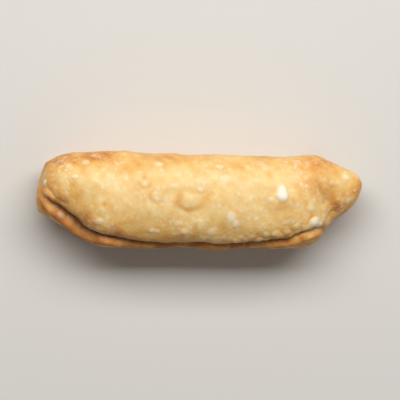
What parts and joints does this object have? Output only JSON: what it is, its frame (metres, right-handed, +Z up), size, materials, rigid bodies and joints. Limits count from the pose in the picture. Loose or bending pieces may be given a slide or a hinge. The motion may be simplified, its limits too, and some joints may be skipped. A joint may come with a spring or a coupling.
{
  "type": "deep-fried egg roll",
  "caption": "Egg roll with a blistered golden fried wrapper, a folded flap edge along its front, a blunt end and a pointed ear at the other.",
  "frame": {"origin": "centre of the bounding box in plan, at the flat underside that the roll lies on", "axes": "+X along the roll towards the pointed ear, +Y towards the roll's back, away from the flap's edge, +Z up"},
  "size_m": [0.1068, 0.0316, 0.0272],
  "materials": {
    "fried_dough": null
  },
  "bodies": {
    "root": {"egg_roll": "fried_dough"}
  },
  "joints": []
}
